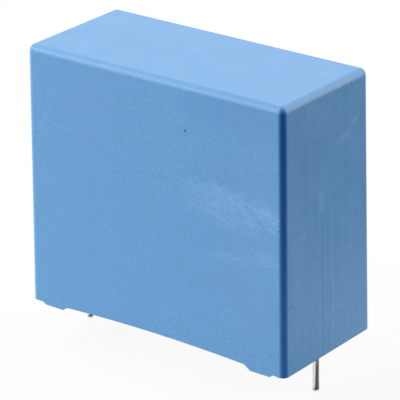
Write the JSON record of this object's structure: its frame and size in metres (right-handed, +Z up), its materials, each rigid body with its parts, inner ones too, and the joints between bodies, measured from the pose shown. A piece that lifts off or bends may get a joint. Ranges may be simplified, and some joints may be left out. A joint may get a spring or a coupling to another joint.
{
  "type": "box film capacitor",
  "caption": "Radial box film capacitor: a resin-filled moulded box with stand-off feet and straight wire leads for through-hole mounting.",
  "frame": {"origin": "on the board's surface, where the feet stand, midway between the two leads", "axes": "+X along the box through both leads, +Y across the box from its front to its back, +Z up from the board to the closed top"},
  "size_m": [0.0414, 0.0188, 0.0415],
  "materials": {
    "case": "fine matte light blue moulding, with pale scuffs on the front and the end",
    "resin": "poured epoxy, smooth with a slight hollow",
    "film": "metallised film, pressed flat",
    "sleeve": "plain clear film",
    "zinc": "sprayed zinc, rough",
    "wire": "tinned wire, satin",
    "solder": "solder, satin"
  },
  "bodies": {
    "root": {"case": "case", "resin": "resin", "winding": "film", "wrap": "sleeve", "contact_left": "zinc", "contact_right": "zinc", "lead_left": "wire", "lead_right": "wire", "joint_left": "solder", "joint_right": "solder"}
  },
  "joints": []
}
